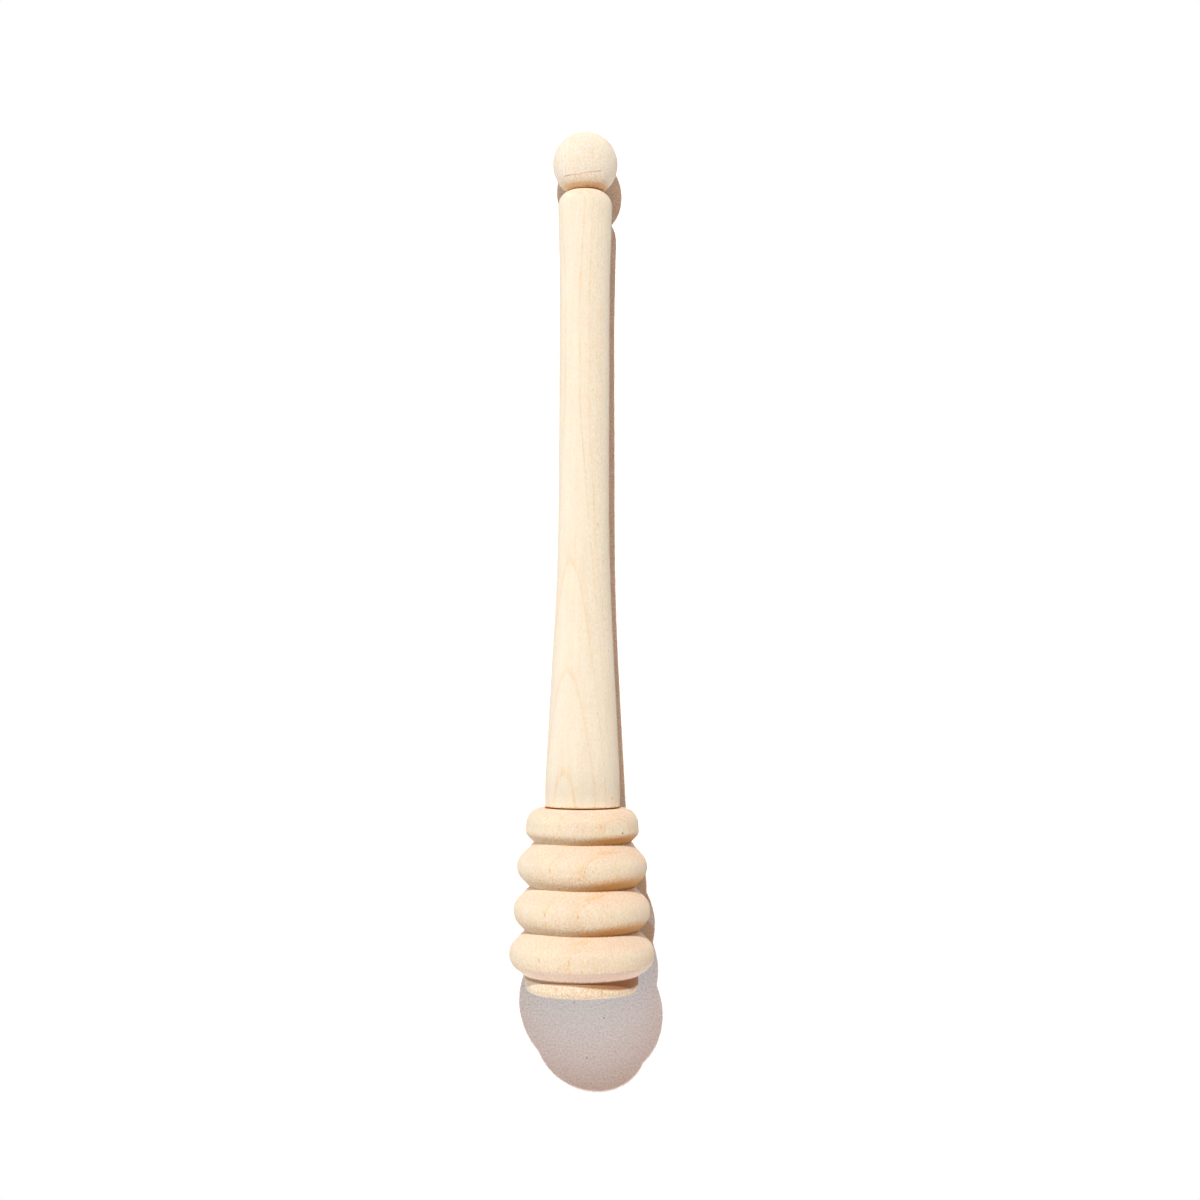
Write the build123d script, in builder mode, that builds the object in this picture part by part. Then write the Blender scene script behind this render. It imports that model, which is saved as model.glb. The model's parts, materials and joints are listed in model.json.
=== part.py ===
from build123d import *
import os
from math import acos, atan2, cos, degrees, hypot, radians, sin, sqrt, tan

# A wooden honey dipper, glued up from a ringed head, a handle and a knob.
# It lies on the table: it rests on its lowest ring and on its knob, and its own shape tips the axis a little.
# Y runs along the table towards the knob, Z is up, and the origin is on the table under the middle.
# A station is a distance along the turning axis from the foot end, and a radius is measured from that axis.

# Head: its collar at the foot end, and the slope of the ring flanks against the axis
collar_radius = 10.4
collar_edge_round = 1.3
foot_flank_angle = 54
flank_angle = 44.5

# The rings in order from the foot end; a pitch is the step from the ring before
foot_ring_radius = 13.4
foot_ring_station = 6.9
foot_ring_crown = 3.3
second_ring_radius = 12.6
second_ring_pitch = 7.9
second_ring_crown = 3.5
third_ring_radius = 12.0
third_ring_pitch = 8.05
third_ring_crown = 3.2
top_ring_radius = 10.5
top_ring_pitch = 6.05
top_ring_edge_round = 1.4
top_ring_height = 4.7
top_ring_end_radius = 10.1
top_ring_end_round = 2.9

# Handle, from its foot on the head to the shoulder under the knob
handle_length = 115.2
handle_foot_radius = 6.9
foot_straight_length = 5.0
foot_bend_round = 80.0
taper_length = 41.8
waist_radius = 4.68
waist_start_round = 475.0
swell_length = 17.9
waist_end_round = 285.0
shoulder_radius = 5.14
shoulder_round = 3.0
joint_gap = 0.25
joint_gap_depth = 1.4

# Knob
knob_radius = 6.1
knob_seat_radius = 3.4

# Dowel pins and the holes drilled for them
head_dowel_radius = 3.0
head_dowel_length = 30.0
knob_dowel_radius = 2.0
knob_dowel_length = 14.0
glue_clearance = 0.05
hole_end_room = 0.8
dowel_chamfer = 0.5
flute_radius = 0.3
flute_count = 10
cut_overrun = 1.0

# Stations along the axis
second_ring_station = foot_ring_station + second_ring_pitch
third_ring_station = second_ring_station + third_ring_pitch
top_ring_station = third_ring_station + top_ring_pitch
head_length = top_ring_station + top_ring_height
taper_start_station = head_length + foot_straight_length
waist_start_station = taper_start_station + taper_length
knob_seat_station = head_length + handle_length
waist_end_station = knob_seat_station - swell_length
knob_centre_station = knob_seat_station + sqrt(knob_radius**2 - knob_seat_radius**2)

# The table touches the round crown of the foot ring and the knob, and that sets how far the axis tips
crown_centre_radius = foot_ring_radius - foot_ring_crown
support_span = knob_centre_station - foot_ring_station
support_drop = knob_radius - foot_ring_crown
tip_angle = acos(support_drop / hypot(crown_centre_radius, support_span)) - atan2(
    support_span, crown_centre_radius
)
foot_height = foot_ring_crown + crown_centre_radius * cos(tip_angle) + foot_ring_station * sin(tip_angle)

# The lower edge of the foot end and the knob are the two ends of the object, and the origin lies midway
foot_end_reach = (
    collar_edge_round * (1 - cos(tip_angle)) + (collar_radius - collar_edge_round) * sin(tip_angle)
)
knob_end_reach = knob_centre_station * cos(tip_angle) + knob_radius
foot_y = (foot_end_reach - knob_end_reach) / 2

# The lathe plane lies on the foot end and faces the knob; outlines are drawn in the profile plane as
# (radius, station)
lathe = Plane(
    origin=(0, foot_y, foot_height),
    x_dir=(1, 0, 0),
    z_dir=(0, cos(tip_angle), -sin(tip_angle)),
)
profile_plane = Plane(origin=lathe.origin, x_dir=lathe.x_dir, z_dir=-lathe.y_dir)
turning_axis = Axis(lathe.origin, lathe.z_dir)

flank_slope = tan(radians(flank_angle))
flank_cosine = cos(radians(flank_angle))

# Radius, station, crown radius and the angle of the flank that faces the foot end
rings = [
    (foot_ring_radius, foot_ring_station, foot_ring_crown, foot_flank_angle),
    (second_ring_radius, second_ring_station, second_ring_crown, flank_angle),
    (third_ring_radius, third_ring_station, third_ring_crown, flank_angle),
]

# The ringed head, with a blind hole for its dowel
with BuildPart() as head:
    with BuildSketch(profile_plane):
        # Each ring is a roof of two flanks that run down to the axis, with its ridge rounded to the crown
        for radius, station, crown, foot_side_angle in rings:
            foot_side_slope = tan(radians(foot_side_angle))
            foot_side_cosine = cos(radians(foot_side_angle))
            ridge_shift = crown * (1 / flank_cosine - 1 / foot_side_cosine) / (flank_slope + foot_side_slope)
            ridge_radius = radius - crown + crown / flank_cosine - ridge_shift * flank_slope
            ridge_station = station + ridge_shift
            with BuildLine():
                roof = FilletPolyline(
                    (0, ridge_station - ridge_radius / foot_side_slope),
                    (ridge_radius, ridge_station),
                    (0, ridge_station + ridge_radius / flank_slope),
                    radius=[crown],
                )
                Line(roof @ 1, roof @ 0)
            make_face()
        # Flanks that would run past the ends are cut off there; no ring is as wide as the head is long
        Rectangle(head_length, head_length, align=(Align.MIN, Align.MIN), mode=Mode.INTERSECT)
        with BuildLine():
            collar = FilletPolyline(
                (0, 0),
                (collar_radius, 0),
                (collar_radius, foot_ring_station),
                (0, foot_ring_station),
                radius=[collar_edge_round, 0],
            )
            Line(collar @ 1, collar @ 0)
        make_face()
        with BuildLine():
            top_ring = FilletPolyline(
                (0, top_ring_station - top_ring_radius / flank_slope),
                (top_ring_radius, top_ring_station),
                (top_ring_end_radius, head_length),
                (0, head_length),
                radius=[top_ring_edge_round, top_ring_end_round],
            )
            Line(top_ring @ 1, top_ring @ 0)
        make_face()
    revolve(axis=turning_axis)
    with BuildSketch(lathe.offset(head_length + cut_overrun)):
        Circle(head_dowel_radius + glue_clearance)
    extrude(amount=-(cut_overrun + head_dowel_length / 2 + hole_end_room), mode=Mode.SUBTRACT)
head.part.label = "head"

# The handle, with a fine gap left open round the edge of the joint, and a blind hole in each end
with BuildPart() as handle:
    with BuildSketch(profile_plane):
        with BuildLine():
            spindle = FilletPolyline(
                (0, head_length),
                (handle_foot_radius - joint_gap_depth, head_length),
                (handle_foot_radius - joint_gap_depth, head_length + joint_gap),
                (handle_foot_radius, head_length + joint_gap),
                (handle_foot_radius, taper_start_station),
                (waist_radius, waist_start_station),
                (waist_radius, waist_end_station),
                (shoulder_radius, knob_seat_station),
                (0, knob_seat_station),
                radius=[0, 0, 0, foot_bend_round, waist_start_round, waist_end_round, shoulder_round],
            )
            Line(spindle @ 1, spindle @ 0)
        make_face()
    revolve(axis=turning_axis)
    with BuildSketch(lathe.offset(head_length - cut_overrun)):
        Circle(head_dowel_radius + glue_clearance)
    extrude(amount=cut_overrun + head_dowel_length / 2 + hole_end_room, mode=Mode.SUBTRACT)
    with BuildSketch(lathe.offset(knob_seat_station + cut_overrun)):
        Circle(knob_dowel_radius + glue_clearance)
    extrude(amount=-(cut_overrun + knob_dowel_length / 2 + hole_end_room), mode=Mode.SUBTRACT)
handle.part.label = "handle"

# The knob, a ball with a small flat that sits on the handle's shoulder
with BuildPart() as knob:
    with BuildSketch(profile_plane):
        with BuildLine():
            ball = ThreePointArc(
                (0, knob_centre_station + knob_radius),
                (knob_radius, knob_centre_station),
                (knob_seat_radius, knob_seat_station),
            )
            Polyline(ball @ 1, (0, knob_seat_station), ball @ 0)
        make_face()
    revolve(axis=turning_axis)
    with BuildSketch(lathe.offset(knob_seat_station - cut_overrun)):
        Circle(knob_dowel_radius + glue_clearance)
    extrude(amount=cut_overrun + knob_dowel_length / 2 + hole_end_room, mode=Mode.SUBTRACT)
knob.part.label = "knob"


def fluted_pin(radius, length, middle_station):
    # A dowel pin with chamfered ends, and flutes that let the glue out of the hole
    pin_end = lathe.offset(middle_station - length / 2)
    with BuildPart() as pin:
        with BuildSketch(pin_end):
            Circle(radius)
        extrude(amount=length)
        chamfer(pin.edges().filter_by(GeomType.CIRCLE), length=dowel_chamfer)
        with BuildSketch(pin_end.offset(-cut_overrun)):
            with PolarLocations(radius, flute_count):
                Circle(flute_radius)
        extrude(amount=length + 2 * cut_overrun, mode=Mode.SUBTRACT)
    return pin


# The dowel between head and handle, and the smaller one between handle and knob
head_dowel = fluted_pin(head_dowel_radius, head_dowel_length, head_length)
head_dowel.part.label = "head_dowel"
knob_dowel = fluted_pin(knob_dowel_radius, knob_dowel_length, knob_seat_station)
knob_dowel.part.label = "knob_dowel"

os.makedirs("parts", exist_ok=True)
export_step(head.part, "parts/head.step")
export_step(handle.part, "parts/handle.step")
export_step(knob.part, "parts/knob.step")
export_step(head_dowel.part, "parts/head_dowel.step")
export_step(knob_dowel.part, "parts/knob_dowel.step")

print("overall length", knob_centre_station + knob_radius)
print("tip angle in degrees", degrees(tip_angle))
print("foot end centre, y and z", foot_y, foot_height)
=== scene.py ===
import json
import math
from collections import namedtuple

import bpy
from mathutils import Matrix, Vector

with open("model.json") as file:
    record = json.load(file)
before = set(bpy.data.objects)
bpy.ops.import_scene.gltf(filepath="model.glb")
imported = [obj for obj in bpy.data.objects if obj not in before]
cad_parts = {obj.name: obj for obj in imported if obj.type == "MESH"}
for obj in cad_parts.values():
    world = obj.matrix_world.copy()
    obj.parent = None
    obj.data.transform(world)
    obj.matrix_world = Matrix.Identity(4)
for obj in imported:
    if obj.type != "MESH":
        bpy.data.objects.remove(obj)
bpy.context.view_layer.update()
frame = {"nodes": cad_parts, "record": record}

# Dresses the honey dipper in bare turned wood, and lights it from beyond the knob on a white table.
# Lengths are in metres, and inside the wood in millimetres.

MM = 0.001

# The turning axis starts in the middle of the foot end and runs towards the knob
foot = frame["record"]["mounts"][0]
foot_place = Vector(foot["pos_m"])
tip_angle = math.atan2(foot["axis"][2], -foot["axis"][1])

CAMERA_PLACE = (3.10 * MM, -7.75 * MM, 350.9 * MM)
CAMERA_ROLL = 0.224
LENS = 55.05
SENSOR_WIDTH = 36.0
CLIP_START = 0.01

# Cells per millimetre of the wood's noises: to the right, down and along the grain
SWAY_CELLS = (0.35, 0.35, 0.06)
THREAD_CELLS = (1.5, 1.5, 0.04)
FIBRE_CELLS = (3.4, 3.4, 0.35)
PORE_CELLS = (3.6, 3.6, 2.2)
CLOUD_CELLS = (0.25, 0.25, 0.09)
FLAME_CELLS = (1.8, 1.8, 0.35)
TICK_CELLS = (4.2, 4.2, 0.8)

# The part of each noise's range that shows
THREAD_RANGE = (0.35, 0.75)
FIBRE_RANGE = (0.30, 0.62)
PORE_RANGE = (0.22, 0.78)
CLOUD_RANGE = (0.25, 0.75)
FLAME_RANGE = (0.36, 0.60)
TICK_RANGE = (0.54, 0.68)
FIBRE_SHINE_RANGE = (0.2, 0.8)
FLECK_PORE_RANGE = (0.25, 0.60)
PAINTED_SHADE_PORE_RANGE = (0.3, 0.7)

# The grain is drawn from a place of its own for each seed
SEED_STEP = (1.0, 1.7, 3.1)

# Growth layers change their slope over this length. A layer's line is in full shortly before its level, and
# fades out shortly after it.
BEND_ROUND = 12.0
LINE_START = 0.02
LINE_END = 0.07

# The normal's share along the axis: where the side turns to end grain, where the foot end is flat, and the
# slopes from which fibres are lifted
KNOB_SIDE_FACING = (0.25, 0.85)
FOOT_SIDE_FACING = (-0.85, -0.25)
FLAT_END_FACING = (-0.99, -0.93)
TORN_FACING_END = (-0.34, -0.12)
TORN_FACING_START = (-0.72, -0.45)
FLAT_END_SPECKLE = 0.35

# Stations up to which the collar is speckled, and where the speckle of the right side begins
COLLAR_EDGE = (2.6, 3.2)
RIGHT_SIDE = (0.2, 2.2)
RIGHT_SIDE_START = (60.0, 75.0)
RIGHT_SIDE_BEFORE = 0.4

# How much of its tone the end grain takes, and how much darker a full speckle is in red, green and blue
END_GRAIN_SHARE = 0.85
WARM_SHARE = 0.5
SPECKLE_TINT = (0.28, 0.38, 0.85)
CLOUD_SHADES = (0.985, 1.015)

SUBSURFACE = 0.25
SUBSURFACE_REACH = (1.0, 0.45, 0.2)
SUBSURFACE_LENGTH = 0.8 * MM
GLOSS = 0.25
ROUGHNESS = (0.72, 0.58)
FIBRE_RELIEF = 0.7
RELIEF_HEIGHT = 0.05 * MM

# Tones of the marks, and of the painted shade in grooves, crevices, under the rings and in the joint
DARK_PAINTED_SHADE = (0.50, 0.20, 0.07)
AMBER = (0.62, 0.33, 0.13)
UMBER = (0.22, 0.08, 0.03)
ORANGE = (0.86, 0.46, 0.14)
WARM_PAINTED_SHADE = (0.78, 0.36, 0.075)
GAP_PAINTED_SHADE = (0.10, 0.025, 0.005)
PALE_PAINTED_SHADE = (0.90, 0.60, 0.32)
ORANGE_PAINTED_SHADE = (0.95, 0.50, 0.15)
ROSE = (0.80, 0.50, 0.40)
COOL_PAINTED_SHADE = (0.80, 0.58, 0.47)
PAINTED_CAST_SHADOW = (0.42, 0.16, 0.05)

# The reach of a band of painted shade that isn't held near the axis, where across the wood the bands widen
# and grow stronger, as the shade does away from the key, how far the pores shift their edges, and how softly
# one that is held near the axis ends
ANYWHERE = 100.0
ALL_ACROSS = (-9.0, 9.0)
PAINTED_SHADE_ACROSS = (-6.0, 6.5)
PAINTED_SHADE_WANDER = (-0.15, 0.15)
PAINTED_SHADE_RIM = 0.1

# The full middle of a mark, how much deeper than wide it is, and what is left of it where pores break it up
FLECK_MIDDLE = 0.35
FLECK_DEPTH = 3
FLECK_BROKEN = 0.6

# A small mark on the upper side, by its place, its half sizes and how it leans as it runs to the right
Fleck = namedtuple("Fleck", "right up station half_width half_length strength tone lean", defaults=(0.0,))

# A band of painted shade round the axis, standing in for the shade in grooves, crevices, under rings and in
# the joint. Its reach below and above its middle grows across the given span, each pair is the value on the
# left and on the right, and crisp is the part of the reach that is shaded in full.
PaintedShade = namedtuple("PaintedShade", "middle below above across crisp strength tone widest")

# The floor is a paper with a fine tooth and three specks. Light bounces off it in a duller tone than is seen.
FLOOR_HALF = 4.0
FLOOR_DROP = 0.00003
FLOOR_WHITE = (0.98, 0.98, 0.98)
FLOOR_BOUNCE = (0.50, 0.56, 0.60)
TOOTH_CELLS = 2600.0
TOOTH_RANGE = (0.25, 0.75)
TOOTH_SHADES = (0.70, 1.10)
SPECK_EDGE = (0.00008, 0.00022)
SPECK_STRENGTH = 0.7
SPECK_TONE = (0.15, 0.12, 0.15)
SPECKS = ((-0.00159, -0.08478, 0.0), (0.00416, -0.08768, 0.0), (0.00092, -0.0953, 0.0))

# Past these distances from the middle, measured with x drawn out, the floor is seen as plain white
FLOOR_STRETCH = (4.0, 1.0, 1.0)
FLOOR_FADE = (0.115, 0.135)

# The key and the lamps that only the floor has
KEY_PLACE = (-0.0769, 0.5239, 0.6436)
KEY_SIZE = 0.0085
KEY_POWER = 39.3
FLOOR_KEY_POWER = 19.0
FLOOR_FILL_PLACE = (0.0, -0.03, 0.22)
FLOOR_FILL_POWER = 0.27
FLOOR_FILL_COLOUR = (1.0, 0.50, 0.27)
FLOOR_FILL_SIZE = 0.19
END_FILL_PLACE = (0.001, -0.083, 0.25)
END_FILL_POWER = 0.95
END_FILL_COLOUR = (0.42, 0.74, 0.95)
END_FILL_CONE = 11.6
WHITE = (1.0, 1.0, 1.0)
WORLD_STRENGTH = 0.02

# Panels that fill the shaded sides of the wood: name, place, power, colour and height
PANEL_WIDTH = 0.6
PANELS = (
    ("left_fill", (-0.60, 0.0, 0.09), 1.3, (0.84, 0.90, 1.0), 0.14),
    ("right_fill", (0.60, 0.0, 0.22), 0.80, (1.0, 0.96, 0.94), 0.36),
    ("foot_fill", (0.0, -0.65, 0.20), 3.4, (0.98, 0.95, 0.98), 0.36),
)


def make_camera():
    """The photograph's camera, straight above the dipper."""
    data = bpy.data.cameras.new("camera")
    data.sensor_width = SENSOR_WIDTH
    data.lens = LENS
    data.clip_start = CLIP_START
    camera = bpy.data.objects.new("camera", data)
    camera.location = CAMERA_PLACE
    camera.rotation_euler = (0.0, 0.0, math.radians(CAMERA_ROLL))
    bpy.context.scene.collection.objects.link(camera)
    bpy.context.scene.camera = camera


make_camera()


def fill(tree, socket, value):
    """Sets a socket to a number or colour, or links it to another socket."""
    if isinstance(value, bpy.types.NodeSocket):
        tree.links.new(value, socket)
    elif isinstance(value, (tuple, list)) and len(value) == 3 and socket.type == "RGBA":
        socket.default_value = (*value, 1.0)
    else:
        socket.default_value = value


def add(tree, kind, inputs=None, **settings):
    """A node with its settings, and with its inputs filled by name."""
    node = tree.nodes.new(kind)
    for name, value in settings.items():
        setattr(node, name, value)
    for name, value in (inputs or {}).items():
        fill(tree, node.inputs[name], value)
    return node


def calc(tree, operation, a, b=0.0, c=0.0, clamp=False):
    """One step of arithmetic on numbers."""
    node = add(tree, "ShaderNodeMath", operation=operation, use_clamp=clamp)
    for socket, value in zip(node.inputs, (a, b, c)):
        fill(tree, socket, value)
    return node.outputs[0]


def vec(tree, operation, a, b=(0.0, 0.0, 0.0)):
    """One step of arithmetic on vectors."""
    node = add(tree, "ShaderNodeVectorMath", operation=operation)
    fill(tree, node.inputs[0], a)
    if operation != "LENGTH":
        fill(tree, node.inputs[1], b)
    return node.outputs["Value"] if operation in ("LENGTH", "DOT_PRODUCT", "DISTANCE") else node.outputs[0]


def scaled(tree, vector, factor):
    """A vector or colour times a number."""
    node = add(tree, "ShaderNodeVectorMath", operation="SCALE")
    fill(tree, node.inputs[0], vector)
    fill(tree, node.inputs["Scale"], factor)
    return node.outputs[0]


def split(tree, vector):
    """The three parts of a vector."""
    return add(tree, "ShaderNodeSeparateXYZ", {"Vector": vector}).outputs[:]


def distance(tree, a, b):
    """The length of the diagonal over two legs."""
    squares = (calc(tree, "MULTIPLY", leg, leg) for leg in (a, b))
    return calc(tree, "SQRT", calc(tree, "ADD", *squares))


def ramp(tree, value, low, high, out_low=0.0, out_high=1.0, smooth=True):
    """Runs from one number to another while the value passes from low to high."""
    node = add(
        tree, "ShaderNodeMapRange",
        {"Value": value, "From Min": low, "From Max": high, "To Min": out_low, "To Max": out_high},
        interpolation_type="SMOOTHSTEP" if smooth else "LINEAR",
    )
    return node.outputs[0]


def noise(tree, place, cells, detail=2.0, roughness=0.5):
    """Noise with this many cells to the unit in each direction."""
    stretched = vec(tree, "MULTIPLY", place, cells)
    node = add(
        tree, "ShaderNodeTexNoise",
        {"Vector": stretched, "Scale": 1.0, "Detail": detail, "Roughness": roughness},
    )
    return node.outputs["Fac"]


def mix(tree, factor, a, b):
    """One colour or the other, or what lies between."""
    node = add(tree, "ShaderNodeMix", data_type="RGBA")
    fill(tree, node.inputs["Factor"], factor)
    fill(tree, node.inputs[6], a)
    fill(tree, node.inputs[7], b)
    return node.outputs[2]


def mix_shaders(tree, factor, a, b):
    """One shader or the other, or what lies between."""
    node = tree.nodes.new("ShaderNodeMixShader")
    for socket, value in zip(node.inputs, (factor, a, b)):
        fill(tree, socket, value)
    return node.outputs[0]


def local_place(tree):
    """Millimetres in the lathe's own frame: x to the right, y down, z the station from the foot end."""
    mapping = add(
        tree, "ShaderNodeMapping",
        {
            "Vector": add(tree, "ShaderNodeTexCoord").outputs["Object"],
            "Location": tuple(foot_place),
            "Rotation": (-(math.pi / 2 + tip_angle), 0.0, 0.0),
            "Scale": (MM, MM, MM),
        },
        vector_type="TEXTURE",
    )
    return mapping.outputs[0]


def growth_lines(tree, place, layers):
    """How strongly a point lies in one of the thin darker lines that end a year's growth."""
    x, y, station = split(tree, place)
    angle = math.radians(layers["angle"])
    pith = layers["pith"]
    across = calc(tree, "ADD", x, -pith * math.sin(angle))
    down = calc(tree, "ADD", y, -pith * math.cos(angle))
    height = calc(tree, "SUBTRACT", distance(tree, across, down), pith)
    # The layers lie level beyond the bend and slope down from it towards the foot end
    before = calc(tree, "SMOOTH_MAX", calc(tree, "SUBTRACT", layers["bend"], station), 0.0, BEND_ROUND)
    height = calc(tree, "ADD", height, calc(tree, "MULTIPLY", before, layers["slope"]))
    sway = calc(tree, "SUBTRACT", noise(tree, place, SWAY_CELLS, 3.0), 0.5)
    height = calc(tree, "ADD", height, calc(tree, "MULTIPLY", sway, layers["sway"]))
    total = 0.0
    # A line rises sharply up to its level, where wanted with a soft band before it, and ends at once
    for level, strength, soft, soft_width in layers["levels"]:
        off = calc(tree, "SUBTRACT", height, level)
        rise = ramp(tree, off, -layers["fade"], -LINE_START, 0.0, strength)
        if soft:
            rise = calc(tree, "MAXIMUM", rise, ramp(tree, off, -soft_width, 0.0, 0.0, soft))
        end = ramp(tree, off, 0.0, LINE_END, 1.0, 0.0)
        total = calc(tree, "ADD", total, calc(tree, "MULTIPLY", rise, end))
    return total


def fleck_strength(tree, place, pores, fleck):
    """The strength of a small mark, which the pores break up, and 0 outside it."""
    off = vec(tree, "SUBTRACT", place, (fleck.right, -fleck.up, fleck.station))
    if fleck.lean:
        rise = vec(tree, "DOT_PRODUCT", off, (fleck.lean, 0.0, 0.0))
        off = vec(tree, "SUBTRACT", off, add(tree, "ShaderNodeCombineXYZ", {"Z": rise}).outputs[0])
    width = fleck.half_width
    off = vec(tree, "MULTIPLY", off, (1 / width, 1 / (FLECK_DEPTH * width), 1 / fleck.half_length))
    shape = ramp(tree, vec(tree, "LENGTH", off), FLECK_MIDDLE, 1.0, 1.0, 0.0)
    strength = ramp(tree, pores, *FLECK_PORE_RANGE, fleck.strength, fleck.strength * FLECK_BROKEN)
    return calc(tree, "MULTIPLY", shape, strength)


def painted_shade_strength(tree, x, from_axis, rough_station, shade_band):
    """The strength of a band of painted shade round the axis, and 0 outside it."""
    to_low = calc(tree, "SUBTRACT", shade_band.middle, rough_station)
    to_high = calc(tree, "SUBTRACT", rough_station, shade_band.middle)
    sides = []
    for off, reach in ((to_low, shade_band.below), (to_high, shade_band.above)):
        share = calc(tree, "DIVIDE", off, ramp(tree, x, *shade_band.across, *reach))
        sides.append(ramp(tree, share, shade_band.crisp, 1.0, 1.0, 0.0))
    inside = calc(
        tree, "MULTIPLY",
        ramp(tree, from_axis, shade_band.widest, shade_band.widest + PAINTED_SHADE_RIM, 1.0, 0.0),
        ramp(tree, x, *PAINTED_SHADE_ACROSS, *shade_band.strength),
    )
    return calc(tree, "MULTIPLY", calc(tree, "MULTIPLY", *sides), inside)


def speckle_depth(tree, x, station, facing, to_knob, to_foot, stipple):
    """How deep the speckle is: more on the end grain, and where the stipple asks for it."""
    depth = calc(tree, "ADD", calc(tree, "MULTIPLY", to_knob, stipple["knob_side"]), stipple["side"])
    depth = calc(tree, "ADD", calc(tree, "MULTIPLY", to_foot, stipple["foot_side"]), depth)
    if "collar" in stipple:
        depth = calc(tree, "ADD", depth, ramp(tree, station, *COLLAR_EDGE, stipple["collar"], 0.0))
    if "right" in stipple:
        later = ramp(tree, station, *RIGHT_SIDE_START, RIGHT_SIDE_BEFORE, 1.0)
        right = calc(tree, "MULTIPLY", ramp(tree, x, *RIGHT_SIDE), later)
        depth = calc(tree, "ADD", depth, calc(tree, "MULTIPLY", right, stipple["right"]))
    # The flat foot end is smoother than the collar's edge
    return calc(tree, "MULTIPLY", depth, ramp(tree, facing, *FLAT_END_FACING, FLAT_END_SPECKLE, 1.0))


def wood(name, tones, layers, stipple, flecks=(), painted_shades=(), lean=0.0, seed=0.0):
    """Bare turned wood. Its tones: pale and warm on the side, end grain to the knob and the foot, lines."""
    pale, warm, knob_side, foot_side, dark = tones
    material = bpy.data.materials.new(name)
    material.use_nodes = True
    tree = material.node_tree
    shader = tree.nodes["Principled BSDF"]
    place = local_place(tree)
    x, y, station = split(tree, place)
    grain = add(
        tree, "ShaderNodeMapping",
        {
            "Vector": place,
            "Rotation": (0.0, math.radians(lean), 0.0),
            "Location": tuple(seed * step for step in SEED_STEP),
        },
    ).outputs[0]

    # Threads and short fibres run along the grain, and pores are dashes on the side and dots on the ends
    threads = noise(tree, grain, THREAD_CELLS, roughness=0.6)
    fibres = noise(tree, grain, FIBRE_CELLS, roughness=0.6)
    pores = noise(tree, grain, PORE_CELLS, roughness=0.7)
    clouds = noise(tree, grain, CLOUD_CELLS)
    flame = noise(tree, grain, FLAME_CELLS, roughness=0.6)

    # How far the surface is cut across the grain, and on which side
    normal = add(tree, "ShaderNodeTexCoord").outputs["Normal"]
    facing = vec(tree, "DOT_PRODUCT", normal, (0.0, math.cos(tip_angle), -math.sin(tip_angle)))
    to_knob = ramp(tree, facing, *KNOB_SIDE_FACING)
    to_foot = ramp(tree, facing, *FOOT_SIDE_FACING, 1.0, 0.0)

    colour = mix(tree, ramp(tree, threads, *THREAD_RANGE, 0.0, WARM_SHARE), pale, warm)
    colour = mix(tree, calc(tree, "MULTIPLY", to_knob, END_GRAIN_SHARE), colour, knob_side)
    colour = mix(tree, calc(tree, "MULTIPLY", to_foot, END_GRAIN_SHARE), colour, foot_side)
    broken = ramp(tree, flame, *FLAME_RANGE, layers["broken"], 1.0)
    line = calc(tree, "MULTIPLY", growth_lines(tree, place, layers), broken, clamp=True)
    colour = mix(tree, line, colour, dark)
    colour = mix(tree, ramp(tree, fibres, *FIBRE_RANGE, stipple["fibres"], 0.0), colour, dark)
    if "ticks" in stipple:
        # Short lifted fibres where the tool ran against the grain, on the foot side of each crest
        torn = calc(
            tree, "MULTIPLY",
            ramp(tree, facing, *TORN_FACING_END, 1.0, 0.0), ramp(tree, facing, *TORN_FACING_START),
        )
        tick = ramp(tree, noise(tree, grain, TICK_CELLS, 1.0), *TICK_RANGE, 0.0, stipple["ticks"])
        colour = mix(tree, calc(tree, "MULTIPLY", torn, tick), colour, dark)
    depth = speckle_depth(tree, x, station, facing, to_knob, to_foot, stipple)
    speckle = calc(tree, "MULTIPLY", ramp(tree, pores, *PORE_RANGE, 0.5, -0.5, smooth=False), depth)
    darker = vec(tree, "SUBTRACT", WHITE, scaled(tree, SPECKLE_TINT, speckle))
    colour = vec(tree, "MULTIPLY", colour, darker)
    colour = scaled(tree, colour, ramp(tree, clouds, *CLOUD_RANGE, *CLOUD_SHADES))
    for fleck in flecks:
        colour = mix(tree, fleck_strength(tree, place, pores, fleck), colour, fleck.tone)
    # Bands of painted shade darken and warm the wood where shade falls: grooves, crevices, under the rings,
    # the joint
    from_axis = distance(tree, x, y)
    wander = ramp(tree, pores, *PAINTED_SHADE_PORE_RANGE, *PAINTED_SHADE_WANDER, smooth=False)
    rough_station = calc(tree, "ADD", station, wander)
    for shade_band in painted_shades:
        colour = mix(tree, painted_shade_strength(tree, x, from_axis, rough_station, shade_band), colour, shade_band.tone)

    fill(tree, shader.inputs["Base Color"], colour)
    shader.inputs["Subsurface Weight"].default_value = SUBSURFACE
    shader.inputs["Subsurface Radius"].default_value = SUBSURFACE_REACH
    shader.inputs["Subsurface Scale"].default_value = SUBSURFACE_LENGTH
    fill(tree, shader.inputs["Roughness"], ramp(tree, fibres, *FIBRE_SHINE_RANGE, *ROUGHNESS))
    shader.inputs["Specular IOR Level"].default_value = GLOSS
    relief = calc(tree, "ADD", calc(tree, "MULTIPLY", fibres, FIBRE_RELIEF), pores)
    bump = add(
        tree, "ShaderNodeBump", {"Strength": stipple["bump"], "Distance": RELIEF_HEIGHT, "Height": relief}
    )
    fill(tree, shader.inputs["Normal"], bump.outputs[0])
    return material


# In the layers, angle and pith place the middle of the tree, and a level is a height above it, with the
# strength of its line and the strength and width of a soft band before it

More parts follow.
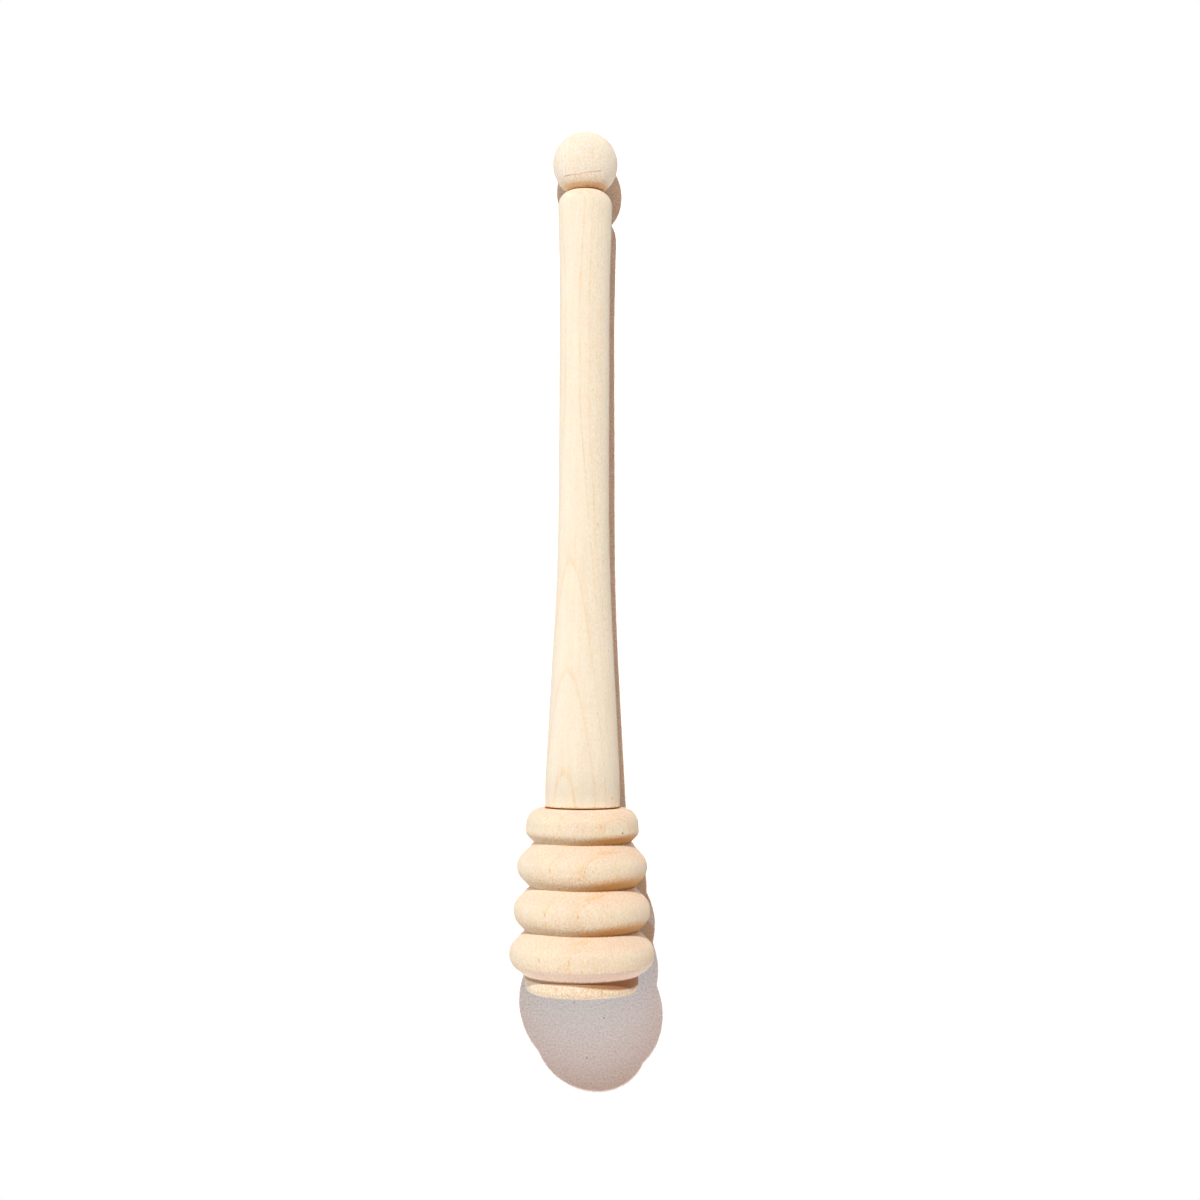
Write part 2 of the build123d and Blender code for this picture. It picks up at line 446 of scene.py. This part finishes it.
handle_wood = wood(
    "handle_wood",
    tones=(
        (0.96, 0.825, 0.65), (0.95, 0.77, 0.56),
        (0.93, 0.77, 0.58), (0.93, 0.77, 0.58), (0.86, 0.54, 0.21),
    ),
    layers={
        "angle": 29.0, "pith": 60.0, "bend": 105.0, "slope": 0.0435,
        "sway": 0.12, "fade": 0.16, "broken": 0.4,
        "levels": (
            (1.3, 0.15, 0.0, 0.0), (1.9, 0.15, 0.0, 0.0), (2.6, 0.2, 0.0, 0.0),
            (3.66, 0.30, 0.12, 0.6), (4.45, 0.34, 0.0, 0.0), (6.02, 0.36, 0.12, 0.8),
            (7.85, 0.38, 0.10, 0.5), (9.64, 0.38, 0.12, 0.5),
        ),
    },
    stipple={"fibres": 0.07, "side": 0.38, "knob_side": 0.3, "foot_side": 0.3, "right": 0.30, "bump": 0.5},
    flecks=(
        Fleck(2.68, 3.91, 85.75, 0.22, 0.55, 0.60, ORANGE),
        Fleck(2.49, 3.95, 99.35, 0.22, 0.35, 0.45, ORANGE),
        Fleck(1.66, 4.37, 110.5, 0.22, 0.35, 0.40, ORANGE),
        Fleck(3.24, 3.37, 112.3, 0.25, 0.3, 0.45, ORANGE),
        Fleck(0.32, 4.67, 119.0, 0.18, 0.3, 0.5, ORANGE),
        Fleck(0.45, 4.66, 117.8, 0.18, 0.3, 0.5, ORANGE),
        Fleck(3.62, 3.29, 78.95, 0.35, 0.30, 0.5, ORANGE),
        Fleck(0.36, 4.66, 95.4, 0.18, 0.3, 0.5, ORANGE),
        Fleck(0.37, 4.66, 94.2, 0.18, 0.3, 0.4, ORANGE),
        Fleck(4.05, 3.45, 68.28, 0.22, 0.45, 0.60, ORANGE),
        Fleck(4.46, 3.08, 66.33, 0.22, 0.35, 0.5, ORANGE),
        Fleck(4.74, 3.03, 62.53, 0.22, 0.35, 0.5, ORANGE),
        Fleck(4.88, 3.20, 58.72, 0.22, 0.45, 0.5, ORANGE),
        Fleck(3.65, 3.66, 71.56, 0.20, 0.35, 0.5, ORANGE),
        Fleck(2.69, 5.63, 51.01, 0.20, 0.50, 0.5, ORANGE),
        Fleck(5.49, 4.17, 35.53, 0.25, 0.40, 0.8, ORANGE),
        Fleck(-4.45, 1.4, 112.0, 0.5, 3.5, 0.15, ROSE),
    ),
    painted_shades=(
        # Painted shade in the joint's recess, dark in the recess and warm just above it
        PaintedShade(33.6, (0.5, 0.5), (0.15, 0.15), ALL_ACROSS, 0.2, (0.95, 0.95), GAP_PAINTED_SHADE, 6.6),
        PaintedShade(33.8, (0.5, 0.5), (0.34, 0.34), ALL_ACROSS, 0.3, (0.75, 0.75), WARM_PAINTED_SHADE, ANYWHERE),
    ),
)
knob_wood = wood(
    "knob_wood",
    tones=(
        (0.95, 0.825, 0.67), (0.94, 0.77, 0.57),
        (0.93, 0.79, 0.62), (0.95, 0.80, 0.61), (0.82, 0.50, 0.22),
    ),
    layers={
        "angle": -72.0, "pith": 60.0, "bend": 0.0, "slope": 0.0,
        "sway": 0.4, "fade": 0.16, "broken": 0.2,
        "levels": (
            (-4.4, 0.24, 0.0, 0.0), (-3.4, 0.28, 0.0, 0.0), (-2.5, 0.34, 0.12, 0.5),
            (-1.7, 0.24, 0.0, 0.0), (-0.8, 0.34, 0.12, 0.6), (0.1, 0.2, 0.0, 0.0),
            (0.9, 0.28, 0.0, 0.0), (2.1, 0.2, 0.0, 0.0), (3.4, 0.28, 0.0, 0.0),
        ),
    },
    stipple={"fibres": 0.08, "side": 0.95, "knob_side": 0.2, "foot_side": 0.5, "bump": 0.7},
    # Together these make the dark line that runs slanting over the ball
    flecks=(
        Fleck(-2.5, 4.3, 150.66, 2.4, 0.15, 0.75, AMBER, -0.02),
        Fleck(0.8, 5.25, 151.00, 3.1, 0.14, 0.70, AMBER, 0.16),
        Fleck(0.2, 4.95, 150.50, 3.1, 0.10, 0.35, ORANGE, 0.14),
        Fleck(2.6, 4.8, 151.30, 0.8, 0.16, 0.7, AMBER, 0.16),
        Fleck(-3.2, 4.0, 150.64, 0.8, 0.18, 0.7, AMBER),
    ),
    painted_shades=(
        # Painted shade under the ball and in the crevice where it sits on the shoulder, warm and stronger to
        # the right
        PaintedShade(149.4, (1.0, 1.0), (1.3, 1.3), ALL_ACROSS, 0.2, (0.22, 0.25), PALE_PAINTED_SHADE, ANYWHERE),
        PaintedShade(148.9, (0.5, 0.5), (0.80, 0.90), ALL_ACROSS, 0.45, (0.45, 0.55), ORANGE_PAINTED_SHADE, ANYWHERE),
        PaintedShade(148.8, (0.5, 0.5), (0.12, 0.25), ALL_ACROSS, 0.2, (0.10, 0.70), DARK_PAINTED_SHADE, ANYWHERE),
    ),
    seed=7.0,
)
head_wood = wood(
    "head_wood",
    # End grain is darker than the side, but here the end grain facing the foot, away from the key, is paler
    # than that facing the knob, as painted light on the shaded side
    tones=(
        (0.915, 0.752, 0.562), (0.915, 0.70, 0.46),
        (0.85, 0.635, 0.47), (0.96, 0.75, 0.525), (0.88, 0.50, 0.16),
    ),
    layers={
        "angle": -38.4, "pith": 70.0, "bend": 20.0, "slope": 0.03,
        "sway": 0.4, "fade": 0.20, "broken": 0.3,
        "levels": (
            (2.8, 0.14, 0.0, 0.0), (5.55, 0.38, 0.08, 0.6),
            (10.05, 0.46, 0.20, 1.7), (11.9, 0.08, 0.0, 0.0),
        ),
    },
    stipple={
        "fibres": 0.06, "side": 0.80, "knob_side": 0.3, "foot_side": 1.2,
        "collar": 1.05, "ticks": 0.55, "bump": 0.9,
    },
    flecks=(
        Fleck(7.35, 7.40, 29.50, 0.24, 0.24, 1.0, UMBER),
        Fleck(3.68, 9.73, 1.29, 0.24, 0.75, 1.0, ORANGE),
        Fleck(-4.49, 9.38, 1.73, 0.30, 0.35, 0.8, ORANGE),
        Fleck(-6.22, 7.65, 32.29, 0.28, 0.28, 0.6, ORANGE),
        Fleck(0.22, 10.4, 30.1, 0.20, 0.5, 0.8, ORANGE),
        Fleck(3.44, 9.76, 30.59, 0.20, 0.8, 0.95, ORANGE),
        Fleck(-5.64, 10.55, 23.1, 0.22, 0.55, 0.95, ORANGE),
        Fleck(0.62, 11.97, 22.96, 0.22, 0.50, 1.0, ORANGE),
        Fleck(2.04, 11.81, 22.95, 0.16, 0.35, 0.7, ORANGE),
        Fleck(5.43, 10.7, 22.85, 0.16, 0.35, 0.7, ORANGE),
        Fleck(6.15, 10.25, 23.35, 0.16, 0.35, 0.6, ORANGE),
        Fleck(-6.49, 10.77, 15.2, 0.22, 0.55, 0.9, ORANGE),
        Fleck(-0.58, 12.56, 15.08, 0.24, 0.55, 1.0, ORANGE),
        Fleck(-2.89, 12.16, 13.97, 0.16, 0.40, 0.7, ORANGE),
        Fleck(5.46, 11.35, 14.96, 0.16, 0.35, 0.6, ORANGE),
        Fleck(-7.5, 11.06, 7.28, 0.22, 0.60, 0.9, ORANGE),
        Fleck(-2.13, 13.22, 7.09, 0.24, 0.60, 1.0, ORANGE),
        Fleck(1.23, 13.31, 7.29, 0.22, 0.45, 0.7, ORANGE),
        Fleck(4.6, 8.9, 26.1, 2.6, 0.45, 0.45, ORANGE, -0.05),
        Fleck(2.4, 9.9, 18.2, 2.4, 0.40, 0.40, ORANGE, 0.16),
        Fleck(-0.2, 11.2, 10.3, 2.6, 0.50, 0.35, ORANGE, 0.12),
    ),
    # Painted shade in the three grooves, then on the foot side of the lowest ring, on the collar and in the
    # joint with the handle
    painted_shades=(
        # Warm painted shade on the foot side of the ring above each groove and dark painted shade at each
        # root, wider and stronger to the right
        PaintedShade(27.29, (0.06, 0.06), (0.30, 2.4), ALL_ACROSS, 0.35, (0.05, 0.85), WARM_PAINTED_SHADE, ANYWHERE),
        PaintedShade(19.19, (0.06, 0.06), (0.35, 3.2), ALL_ACROSS, 0.35, (0.10, 0.85), WARM_PAINTED_SHADE, ANYWHERE),
        PaintedShade(11.22, (0.06, 0.06), (0.35, 2.8), ALL_ACROSS, 0.35, (0.10, 0.85), WARM_PAINTED_SHADE, ANYWHERE),
        PaintedShade(27.29, (0.05, 0.05), (0.20, 0.50), ALL_ACROSS, 0.2, (0.05, 0.80), DARK_PAINTED_SHADE, ANYWHERE),
        PaintedShade(19.19, (0.05, 0.10), (0.25, 0.55), ALL_ACROSS, 0.2, (0.10, 0.90), DARK_PAINTED_SHADE, ANYWHERE),
        PaintedShade(11.22, (0.05, 0.10), (0.25, 0.55), ALL_ACROSS, 0.2, (0.10, 0.90), DARK_PAINTED_SHADE, ANYWHERE),
        # A cool painted shade tint on the shaded foot side of the lowest ring
        PaintedShade(4.15, (1.15, 1.15), (1.15, 1.15), ALL_ACROSS, 0.72, (0.50, 0.66), COOL_PAINTED_SHADE, ANYWHERE),
        # Painted shadow that the lowest ring casts on the collar, longer to the right
        PaintedShade(3.00, (0.55, 1.8), (0.30, 0.35), (-3.0, 9.0), 0.75, (0.66, 0.93), PAINTED_CAST_SHADOW, ANYWHERE),
        # Painted shade in the joint's recess, dark in it and warm around it
        PaintedShade(33.6, (0.3, 0.3), (0.3, 0.3), ALL_ACROSS, 0.2, (0.95, 0.95), GAP_PAINTED_SHADE, 6.8),
        PaintedShade(33.6, (0.3, 0.3), (0.3, 0.3), ALL_ACROSS, 0.2, (0.70, 0.70), WARM_PAINTED_SHADE, 7.1),
    ),
    lean=6.0,
    seed=13.0,
)
dowel_wood = wood(
    "dowel_wood",
    tones=(
        (0.72, 0.50, 0.28), (0.68, 0.44, 0.23),
        (0.60, 0.38, 0.20), (0.60, 0.38, 0.20), (0.50, 0.28, 0.12),
    ),
    layers={
        "angle": 0.0, "pith": 30.0, "bend": 0.0, "slope": 0.0,
        "sway": 0.3, "fade": 0.2, "broken": 0.2,
        "levels": (
            (-1.8, 0.4, 0.0, 0.0), (-0.6, 0.4, 0.0, 0.0), (0.7, 0.4, 0.0, 0.0), (1.9, 0.4, 0.0, 0.0),
        ),
    },
    stipple={"fibres": 0.15, "side": 0.4, "knob_side": 0.4, "foot_side": 0.4, "bump": 0.6},
    seed=23.0,
)

for node, material in (
    ("handle", handle_wood), ("knob", knob_wood), ("head", head_wood),
    ("head_dowel", dowel_wood), ("knob_dowel", dowel_wood),
):
    for slot in frame["nodes"][node].material_slots:
        slot.material = material


def make_floor():
    """A white paper with a fine tooth and three specks, which shows where it lies in shadow."""
    mesh = bpy.data.meshes.new("floor")
    corners = [(-1, -1), (1, -1), (1, 1), (-1, 1)]
    mesh.from_pydata([(x * FLOOR_HALF, y * FLOOR_HALF, 0) for x, y in corners], [], [(0, 1, 2, 3)])
    floor = bpy.data.objects.new("floor", mesh)
    floor.location.z = -FLOOR_DROP
    bpy.context.scene.collection.objects.link(floor)
    material = bpy.data.materials.new("floor")
    material.use_nodes = True
    tree = material.node_tree
    tree.nodes.clear()
    where = add(tree, "ShaderNodeNewGeometry").outputs["Position"]
    shown = FLOOR_WHITE
    for speck in SPECKS:
        off = vec(tree, "DISTANCE", vec(tree, "MULTIPLY", where, (1.0, 1.0, 0.0)), speck)
        shown = mix(tree, ramp(tree, off, *SPECK_EDGE, SPECK_STRENGTH, 0.0), shown, SPECK_TONE)
    tooth = add(
        tree, "ShaderNodeTexNoise", {"Vector": where, "Scale": TOOTH_CELLS, "Detail": 2.0, "Roughness": 0.7}
    )
    shade = ramp(tree, tooth.outputs["Fac"], *TOOTH_RANGE, *TOOTH_SHADES, smooth=False)
    shown = scaled(tree, shown, shade)
    bounce = add(tree, "ShaderNodeBsdfDiffuse", {"Color": FLOOR_BOUNCE}).outputs[0]
    paper = add(tree, "ShaderNodeBsdfDiffuse", {"Color": shown}).outputs[0]
    white = add(tree, "ShaderNodeEmission", {"Color": WHITE, "Strength": 1.0}).outputs[0]
    far = ramp(tree, vec(tree, "LENGTH", vec(tree, "MULTIPLY", where, FLOOR_STRETCH)), *FLOOR_FADE)
    seen = add(tree, "ShaderNodeLightPath").outputs["Is Camera Ray"]
    look = mix_shaders(tree, seen, bounce, mix_shaders(tree, far, paper, white))
    add(tree, "ShaderNodeOutputMaterial", {"Surface": look})
    mesh.materials.append(material)
    return floor


def make_lamp(name, kind, place, power, colour, receivers=None, straight_down=False):
    """A lamp that looks at the dipper or straight down, and that may light only some things."""
    data = bpy.data.lights.new(name, kind)
    data.energy = power
    data.color = colour
    lamp = bpy.data.objects.new(name, data)
    lamp.location = place
    if not straight_down:
        lamp.rotation_euler = (-lamp.location).to_track_quat("-Z", "Y").to_euler()
    if receivers:
        lamp.light_linking.receiver_collection = receivers
    bpy.context.scene.collection.objects.link(lamp)
    return data


def make_lights(floor):
    """The key and the panels light the wood. The floor has the key too, and lamps of its own."""
    only_floor = bpy.data.collections.new("only_floor")
    only_floor.objects.link(floor)
    not_floor = bpy.data.collections.new("not_floor")
    not_floor.objects.link(floor)
    not_floor.collection_objects[0].light_linking.link_state = "EXCLUDE"

    # The key casts the clear shadow and is as strong at the head as at the knob
    key = make_lamp("key", "POINT", KEY_PLACE, KEY_POWER, WHITE)
    key.shadow_soft_size = KEY_SIZE
    key.use_nodes = True
    falloff = add(key.node_tree, "ShaderNodeLightFalloff", {"Strength": 1.0}).outputs["Constant"]
    fill(key.node_tree, key.node_tree.nodes["Emission"].inputs["Strength"], falloff)
    floor_key = make_lamp("floor_key", "POINT", KEY_PLACE, FLOOR_KEY_POWER, WHITE, only_floor)
    floor_key.shadow_soft_size = KEY_SIZE
    # The shadow is brown beside the wood, and a paler grey beyond the foot end
    floor_fill = make_lamp(
        "floor_fill", "AREA", FLOOR_FILL_PLACE, FLOOR_FILL_POWER, FLOOR_FILL_COLOUR,
        only_floor, straight_down=True,
    )
    floor_fill.size = FLOOR_FILL_SIZE
    end_fill = make_lamp(
        "end_fill", "SPOT", END_FILL_PLACE, END_FILL_POWER, END_FILL_COLOUR,
        only_floor, straight_down=True,
    )
    end_fill.spot_size = math.radians(END_FILL_CONE)
    end_fill.spot_blend = 1.0
    for name, place, power, colour, height in PANELS:
        panel = make_lamp(name, "AREA", place, power, colour, not_floor)
        panel.shape = "RECTANGLE"
        panel.size = PANEL_WIDTH
        panel.size_y = height


def make_world():
    """Nearly black for the light, and plain white for the camera."""
    world = bpy.data.worlds.new("studio")
    bpy.context.scene.world = world
    world.use_nodes = True
    tree = world.node_tree
    tree.nodes.clear()
    seen = add(tree, "ShaderNodeLightPath").outputs["Is Camera Ray"]
    soft = add(tree, "ShaderNodeBackground", {"Color": WHITE, "Strength": WORLD_STRENGTH}).outputs[0]
    white = add(tree, "ShaderNodeBackground", {"Color": WHITE, "Strength": 1.0}).outputs[0]
    add(tree, "ShaderNodeOutputWorld", {"Surface": mix_shaders(tree, seen, soft, white)})


make_lights(make_floor())
make_world()
bpy.context.scene.view_settings.view_transform = "Standard"
